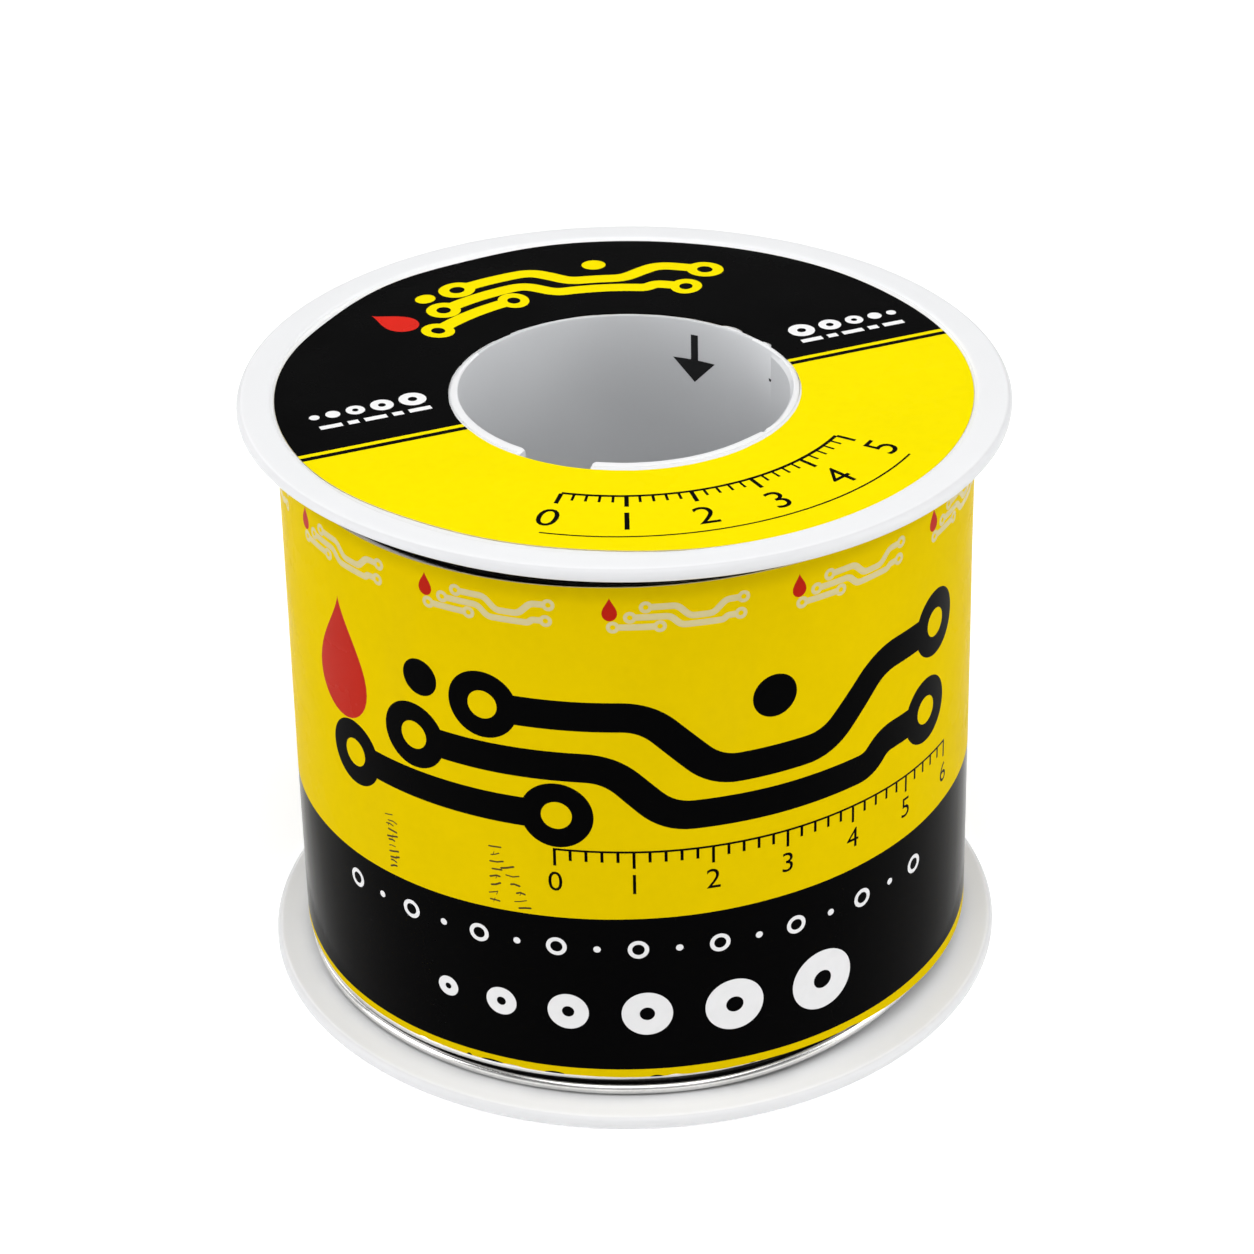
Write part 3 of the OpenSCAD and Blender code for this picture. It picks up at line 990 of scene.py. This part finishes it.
def wrap_shapes():
    Y, K, G, R, Wt, M = range(6)
    S = []
    for side in (0, 1):
        s0 = to_s(-90.0 + 180.0 * side)

        def at(L, s0=s0):
            return L + [s0, 0.0]
        # large circuit artwork with a drop
        S += circuit(K, Y, R, at)
        # ruler under it, with plain numbers
        for i in range(0, 31):
            x = -5.0 + i
            h = 1.15 if i % 5 == 0 else 0.7
            S.append(dict(loops=[at(box_loop(x - 0.1, 20.0 - h, x + 0.1, 20.0))], mat=K))
        S.append(dict(loops=[at(box_loop(-5.1, 20.0, 25.1, 20.16))], mat=K))
        for i in range(7):
            g = [at(l * 1.45 + [-5.0 + 5 * i, 16.95]) for l in glyph(str(i))]
            S.append(dict(loops=g, mat=K))
        # small rings along the black band
        for i in range(17):
            x = -20.8 + i * 2.62
            if i % 2 == 0:
                S.append(dict(loops=[at(ring_loop(x, 12.7, 0.68, 28)), at(ring_loop(x, 12.7, 0.40, 22))], mat=Wt))
            else:
                S.append(dict(loops=[at(ring_loop(x, 12.7, 0.24, 18))], mat=Wt))
        # wire sections in rising sizes
        x = -13.6
        for d in (1.5, 2.1, 2.7, 3.3, 3.9, 4.5):
            x += d / 2
            S.append(dict(loops=[at(ring_loop(x, 7.7, d / 2, 48)), at(ring_loop(x, 7.7, d * 0.15, 24))], mat=Wt))
            x += d / 2 + 2.1
    # row of small faint copies round the top
    for i in range(12):
        s0 = to_s(-143.6 + 30.0 * i)
        if s0 + 5 > S_LEN or s0 < 5:
            continue

        def small(L, s0=s0):
            return (L - [0.0, 26.6]) * 0.185 + [s0 + 0.2, 37.0]
        S += circuit(G, Y, R, small, width=2.3, dens=0.5, pad=2.2, dots=False)
    # worn marks on the left of the front, where the turns underneath have rubbed through
    rs = np.random.RandomState(11)
    for a0, a1, z0, z1, n in ((-132.8, -132.5, 15.1, 19.3, 11), (-112.2, -113.4, 15.1, 19.7, 8), (-110.2, -107.4, 14.7, 18.3, 6)):
        for i in range(n):
            t = (i + 0.3 * rs.rand()) / n
            sx = to_s(a0 + (a1 - a0) * t) + rs.uniform(-0.18, 0.18)
            z = z1 + (z0 - z1) * t
            w, rise = rs.uniform(0.45, 0.90), rs.uniform(-0.05, 0.26)
            bend = rs.uniform(-0.10, 0.10)
            line = np.array([(sx - w / 2, z - rise / 2), (sx + rs.uniform(-0.1, 0.1), z + bend), (sx + w / 2, z + rise / 2)])
            S.append(dict(loops=[offset_loop(line, rs.uniform(0.08, 0.15), 3)], mat=M))
            if rs.rand() < 0.35:
                x2 = sx + rs.uniform(-0.2, 0.25)
                S.append(dict(loops=[offset_loop(np.array([(x2, z - 0.14), (x2 + 0.10, z + 0.15)]), 0.05, 3)], mat=M))
    # painted shade: dark nicks in the lower edge, black ink where the edge stands off the wire and leaves a dark gap
    for a, w in ((-118.9, 0.35), (-114.6, 1.55), (-103.8, 1.25), (-87.0, 0.8), (-71.0, 0.6), (96.0, 1.0), (60.0, 0.7)):
        sx = to_s(a)
        q = np.linspace(-1, 1, 11)
        lens = np.concatenate([np.stack([sx + q * w / 2, LZ0 - 0.3 + 0 * q], -1), np.stack([sx + q[::-1] * w / 2, LZ0 + 0.05 + 0.10 * (1 - q ** 2)], -1)])
        S.append(dict(loops=[lens], mat=K))
    return S


def build_wrap():
    n = 1400
    s = np.linspace(0, S_LEN, n)
    th = s / ROUT
    dg = np.degrees(th) + SEAM
    rag = 0.020 * wob(th, 21, 30, 4) + 0.012 * wob(th, 22, 40, 13)
    nick = sum(h * near_deg(dg, a, w) for a, w, h in ((-84.0, 1.1, 0.09), (-111.0, 1.5, 0.08), (-128.0, 0.7, 0.07), (-52.0, 1.4, 0.07), (150.0, 0.8, 0.1)))
    bot = LZ0 + 0.15 * near_deg(dg, -58, 18) - 0.05 * near_deg(dg, -140, 12) + rag + nick
    top = LZ1 - 0.10 * near_deg(dg, -128, 25) + 0.12 * near_deg(dg, -45, 40) + 0.02 * wob(th, 23, 30, 3)
    domain = [np.concatenate([np.stack([s, bot], -1), np.stack([s[::-1], top[::-1]], -1)])]
    cols = np.arange(0.45, S_LEN - 0.2, 0.6)
    lines = [np.array([(c, LZ0 - 0.3), (c, LZ1 + 0.3)]) for c in cols]
    sl = np.linspace(-0.2, S_LEN + 0.2, 300)
    lines += [np.stack([sl, f(sl)], -1) for f in (stripe_top, band_top)]
    pts = [(c, z) for c in cols for z in np.arange(LZ0 + 0.9, LZ1 - 0.5, 2.2)]

    def base(C):
        return np.where(C[:, 1] < stripe_top(C[:, 0]), 0, np.where(C[:, 1] < band_top(C[:, 0]), 1, 0))
    P, T, ink = triangulate(domain, wrap_shapes(), base, lines, pts)
    return sheet_solid("wrap_label_film", P, T, ink, wrap_map(0.0), wrap_map(-LT), wrap_normal,
                       [W_YELLOW, W_BLACK, W_GREY, W_RED, W_WHITE, W_MARK, FILM_EDGE], 6)


wrap = build_wrap()

# ---------------------------------------------------------------- ring label
CH_DIR = math.radians(22.4)
CH_N = np.array([-math.sin(CH_DIR), math.cos(CH_DIR)])
ZL = HA - REC_T
HOLE_C = np.array([0.06, -0.55])     # the hole was punched a little off the middle
HOLE_R = 11.37


def ring_z(P, extra):
    r = np.hypot(P[:, 0], P[:, 1])
    a = np.arctan2(P[:, 1], P[:, 0])
    w = 0.008 * np.sin(4 * a + 0.3 * r) + 0.006 * np.sin(7 * a - 0.5 * r + 1.0)
    edge = 0.012 * sstep((r - 21.6) / 0.8) * (1 + np.sin(3 * a + 1)) / 2
    return ZL + 0.02 + w + edge + extra + TILT * P[:, 0]


def ring_map(extra):
    return lambda P: np.stack([P[:, 0], P[:, 1], ring_z(P, extra)], -1)


def ring_normal(P):
    h = 0.02
    dx = (ring_z(P + [h, 0], 0) - ring_z(P - [h, 0], 0)) / (2 * h)
    dy = (ring_z(P + [0, h], 0) - ring_z(P - [0, h], 0)) / (2 * h)
    nn = np.stack([-dx, -dy, np.ones(len(P))], -1)
    return nn / np.linalg.norm(nn, axis=1)[:, None]


def polar_place(a_mid, r_mid, k, x_mid, z_mid):
    """Bends flat artwork round the axis, its foot inwards."""
    def f(L):
        x = (L[:, 0] - x_mid) * k
        y = (L[:, 1] - z_mid) * k
        a = math.radians(a_mid) - x / r_mid
        r = r_mid + y
        return np.stack([r * np.cos(a), r * np.sin(a)], -1)
    return f


def turned(L, a, r, k=1.0):
    """Puts a figure at angle a and radius r of the dial, its foot inwards."""
    t = math.radians(a)
    out = np.array([math.cos(t), math.sin(t)])
    right = np.array([math.sin(t), -math.cos(t)])
    return np.asarray(L)[:, :1] * k * right + np.asarray(L)[:, 1:] * k * out + out * r


def turned_out(L, a, r, k=1.0):
    """The same with its foot outwards, so it reads upright at the front."""
    t = math.radians(a)
    out = np.array([math.cos(t), math.sin(t)])
    right = np.array([-math.sin(t), math.cos(t)])
    return np.asarray(L)[:, :1] * k * right - np.asarray(L)[:, 1:] * k * out + out * r


def arc_band(r0, r1, a0, a1, n):
    a = np.radians(np.linspace(a0, a1, n))
    o = np.stack([r1 * np.cos(a), r1 * np.sin(a)], -1)
    i = np.stack([r0 * np.cos(a), r0 * np.sin(a)], -1)[::-1]
    return np.concatenate([o, i])


def ring_shapes():
    Y, K, R, Wt = range(4)
    S = []
    S += circuit(Y, K, R, polar_place(113.0, 16.9, 0.50, -1.0, 26.6), width=2.3, drop=7.4)
    # white marks in the black field, left and right, in line with its edge
    d = np.array([math.cos(CH_DIR), math.sin(CH_DIR)])
    for c, sg in ((np.array([-16.2, -3.3]), 1), (np.array([14.9, 8.4]), -1)):
        x, xs, rr = 0.0, [], (0.34, 0.48, 0.62, 0.76, 0.90)
        for r in rr:
            xs.append(x + r)
            x += 2 * r + 0.42
        x -= 0.42
        for xc, r in zip(xs, rr):
            q = c + d * (xc - x / 2) * sg + CH_N * 0.55
            S.append(dict(loops=[ring_loop(q[0], q[1], r, 30)], mat=Wt))
            if r > 0.6:
                S.append(dict(loops=[ring_loop(q[0], q[1], r * 0.34, 18)], mat=K))
        for i, ln in enumerate((1.5, 0.7, 1.5, 0.7, 1.5)):
            x0 = (-3.35, -1.45, -0.35, 1.55, 2.65)[i] - 0.4
            a0, a1 = c + d * x0 - CH_N * 1.0, c + d * (x0 + ln) - CH_N * 1.0
            S.append(dict(loops=[np.array([a0 - CH_N * 0.24, a1 - CH_N * 0.24, a1 + CH_N * 0.24, a0 + CH_N * 0.24])], mat=Wt))
    # dial with plain numbers in the yellow field
    a0, a1 = -105.0, -30.0
    S.append(dict(loops=[arc_band(15.15, 15.4, a0, a1, 90)], mat=K))
    for i in range(26):
        a = a0 + i * 3.0
        h = 1.25 if i % 5 == 0 else 0.7
        t = math.radians(a)
        u = np.array([math.cos(t), math.sin(t)])
        v = np.array([-u[1], u[0]])
        w = 0.14 if i % 5 == 0 else 0.09
        S.append(dict(loops=[np.array([u * 15.35 - v * w, u * (15.4 + h) - v * w, u * (15.4 + h) + v * w, u * 15.35 + v * w])], mat=K))
    for i in range(6):
        S.append(dict(loops=[turned_out(l, a0 + i * 15.0, 19.55, 2.15) for l in glyph(str(i))], mat=K))
    S.append(dict(loops=[arc_band(20.35, 20.5, a0, a1, 90)], mat=K))
    return S


def build_ring():
    n = 420
    a = np.linspace(0, TAU, n, endpoint=False)
    ad = np.degrees(a)
    ro = 22.54 + 0.012 * wob(a, 31, 12, 2) - 0.42 * near_deg(ad, -97, 17) - 0.46 * near_deg(ad, -124, 17)
    ro = ro - 0.34 * near_deg(ad, 152, 13) - 0.30 * near_deg(ad, 119, 11) - 0.16 * near_deg(ad, 35, 14)
    m = 900
    b = np.linspace(0, TAU, m, endpoint=False)
    bd = np.degrees(b)
    # a hand-punched hole: small steps and two nicks that bare the tube end
    ri = HOLE_R + 0.012 * wob(b, 32, 12, 3) + 0.02 * wob(b, 33, 10, 7)
    for at_, to_, h in ((99.0, 131.0, 0.05), (131.0, 138.5, -0.05), (160.0, 205.0, 0.03)):
        ri = ri + h * (sstep((bd - at_) / 1.0) - sstep((bd - to_) / 1.0))
    for c, w_, h in ((50.5, 4.2, 0.26), (34.0, 2.4, 0.22)):
        ri = ri + h * np.clip(1 - ((bd - c) / w_) ** 2, 0, 1) ** 0.6
    domain = [np.stack([ro * np.cos(a), ro * np.sin(a)], -1),
              np.stack([HOLE_C[0] + ri * np.cos(b), HOLE_C[1] + ri * np.sin(b)], -1)]
    lines = []
    d = np.array([math.cos(CH_DIR), math.sin(CH_DIR)])
    for off in (-0.98, -1.36, -1.80):
        lines.append(np.array([CH_N * off - d * 24, CH_N * off + d * 24]))
    pts = []
    for r in np.arange(12.4, 22.2, 1.2):
        k = int(r * 6)
        g = np.linspace(0, TAU, k, endpoint=False) + r
        pts += list(zip(r * np.cos(g), r * np.sin(g)))

    def base(C):
        q = C @ CH_N
        return np.where(q > -0.98, 1, np.where(q > -1.36, 0, np.where(q > -1.80, 1, 0)))
    P, T, ink = triangulate(domain, ring_shapes(), base, lines, pts)
    return sheet_solid("ring_label_film", P, T, ink, ring_map(LT - 0.03), ring_map(-0.012), ring_normal,
                       [T_YELLOW, T_BLACK, T_RED, T_WHITE, FILM_EDGE], 4,
                       (1, lambda Q: (Q @ CH_N > -1.0) & (np.hypot(Q[:, 0], Q[:, 1]) < 13)))


ring_label = build_ring()
bore_mark(tube)

# ---------------------------------------------------------------- into the frame
for ob, node, slot_name in (
    (tube, "core_tube", "spool_plastic"),
    (up, "upper_flange", "spool_plastic"),
    (low, "lower_flange", "spool_plastic"),
    (bundle, "inner_winding", "solder"),
    (wire, "outer_wire_layer", "solder"),
    (tail, "wire_last_turn", "solder"),
    (start, "wire_start_end", "solder"),
    (flux, "flux_core", "rosin"),
    (wrap, "wrap_label", "label_film"),
    (ring_label, "top_label", "label_film"),
):
    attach(ob, "root")
    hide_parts(node)

# ---------------------------------------------------------------- floor, light, camera
scene = bpy.context.scene


def floor_material():
    m = bpy.data.materials.new("pale_floor")
    m.use_nodes = True
    t = m.node_tree
    t.nodes.clear()
    out = t.nodes.new("ShaderNodeOutputMaterial")
    mix = t.nodes.new("ShaderNodeAddShader")
    dif = t.nodes.new("ShaderNodeBsdfDiffuse")
    em = t.nodes.new("ShaderNodeEmission")
    co = t.nodes.new("ShaderNodeTexCoord")
    no = t.nodes.new("ShaderNodeTexNoise")
    no.inputs["Scale"].default_value = 14.0
    rp = t.nodes.new("ShaderNodeValToRGB")
    rp.color_ramp.elements[0].color = (0.88, 0.88, 0.88, 1)
    rp.color_ramp.elements[1].color = (0.90, 0.90, 0.90, 1)
    t.links.new(co.outputs["Object"], no.inputs["Vector"])
    t.links.new(no.outputs["Fac"], rp.inputs[0])
    t.links.new(rp.outputs[0], dif.inputs["Color"])
    em.inputs["Color"].default_value = (1, 1, 1, 1)
    ln = t.nodes.new("ShaderNodeVectorMath")
    ln.operation = "LENGTH"
    mr = t.nodes.new("ShaderNodeMapRange")
    for i, v in zip((1, 2, 3, 4), (0.45, 1.6, FLOOR_GLOW, 0.62)):
        mr.inputs[i].default_value = v
    t.links.new(co.outputs["Object"], ln.inputs[0])
    t.links.new(ln.outputs["Value"], mr.inputs[0])
    t.links.new(mr.outputs[0], em.inputs["Strength"])
    t.links.new(dif.outputs[0], mix.inputs[0])
    t.links.new(em.outputs[0], mix.inputs[1])
    t.links.new(mix.outputs[0], out.inputs["Surface"])
    return m


FLOOR_GLOW = 0.41
me = bpy.data.meshes.new("studio_floor")
q = 3.0
me.from_pydata([(-q, -q, -0.00002), (q, -q, -0.00002), (q, q, -0.00002), (-q, q, -0.00002)], [], [(0, 1, 2, 3)])
me.materials.append(floor_material())
floor = bpy.data.objects.new("studio_floor", me)
scene.collection.objects.link(floor)


def area(name, loc, target, sx, sy, radiance, color=(1, 1, 1)):
    li = bpy.data.lights.new(name, "AREA")
    li.shape = "RECTANGLE"
    li.size, li.size_y = sx, sy
    li.energy = radiance * PI * sx * sy
    li.color = color
    ob = bpy.data.objects.new(name, li)
    scene.collection.objects.link(ob)
    ob.location = loc
    ob.rotation_euler = (Vector(target) - Vector(loc)).to_track_quat("-Z", "Y").to_euler()
    return ob


mid = (0, 0, 0.02)
area("key_overhead", (0.0, -0.25, 0.65), mid, 0.60, 0.60, 2.60)
area("side_left", (-0.63, -0.13, 0.24), mid, 0.42, 0.5, 2.65)
area("side_right", (0.63, -0.13, 0.26), mid, 0.42, 0.5, 2.20)
area("high_right", (0.46, -0.10, 0.48), mid, 0.40, 0.40, 0.90)
area("front_high", (0.0, -0.55, 0.45), mid, 0.50, 0.40, 0.68)
area("back_left", (-0.48, 0.42, 0.32), mid, 0.40, 0.40, 1.75)
area("back_right", (0.48, 0.42, 0.32), mid, 0.40, 0.40, 0.30)

# a bright tent: pale at the horizon, dimmer overhead
world = bpy.data.worlds.new("studio")
scene.world = world
world.use_nodes = True
wt = world.node_tree
bg = wt.nodes["Background"]
wc = wt.nodes.new("ShaderNodeTexCoord")
wx = wt.nodes.new("ShaderNodeSeparateXYZ")
wr = wt.nodes.new("ShaderNodeValToRGB")
for i, (pos, v) in enumerate(((0.0, 0.80), (0.40, 0.22), (1.0, 0.03))):
    e_ = wr.color_ramp.elements[i] if i < 2 else wr.color_ramp.elements.new(1.0)
    e_.position, e_.color = pos, (v, v, v, 1)
wt.links.new(wc.outputs["Generated"], wx.inputs[0])
wt.links.new(wx.outputs[2], wr.inputs[0])
wt.links.new(wr.outputs[0], bg.inputs["Color"])
bg.inputs["Strength"].default_value = 1.0

scene.view_settings.view_transform = "Standard"
scene.view_settings.look = "None"
scene.view_settings.exposure = 0.0
scene.view_settings.gamma = 1.0

# camera at the photograph's viewing angle
EL, ROLL = 0.526583593, 0.021089943
TX, TY, TZ = -0.2015028, 15.8495679, 236.2023540
F_PX = 3657.18195
r0 = np.array([1.0, 0, 0])
u0 = np.array([0, math.sin(EL), math.cos(EL)])
b0 = np.array([0, -math.cos(EL), math.sin(EL)])
cr, sr = math.cos(ROLL), math.sin(ROLL)
right = cr * r0 - sr * u0
upv = sr * r0 + cr * u0
loc = np.array([0, 0, HA]) - TX * right - TY * upv + TZ * b0
cam = bpy.data.cameras.new("camera")
cam.sensor_fit = "HORIZONTAL"
cam.sensor_width = 36.0
cam.lens = 36.0 * F_PX / 1254.0
cam.clip_start, cam.clip_end = 0.01, 20.0
cam_ob = bpy.data.objects.new("camera", cam)
scene.collection.objects.link(cam_ob)
M = Matrix(((right[0], upv[0], b0[0], loc[0] * MM),
            (right[1], upv[1], b0[1], loc[1] * MM),
            (right[2], upv[2], b0[2], loc[2] * MM),
            (0, 0, 0, 1)))
cam_ob.matrix_world = M
scene.camera = cam_ob
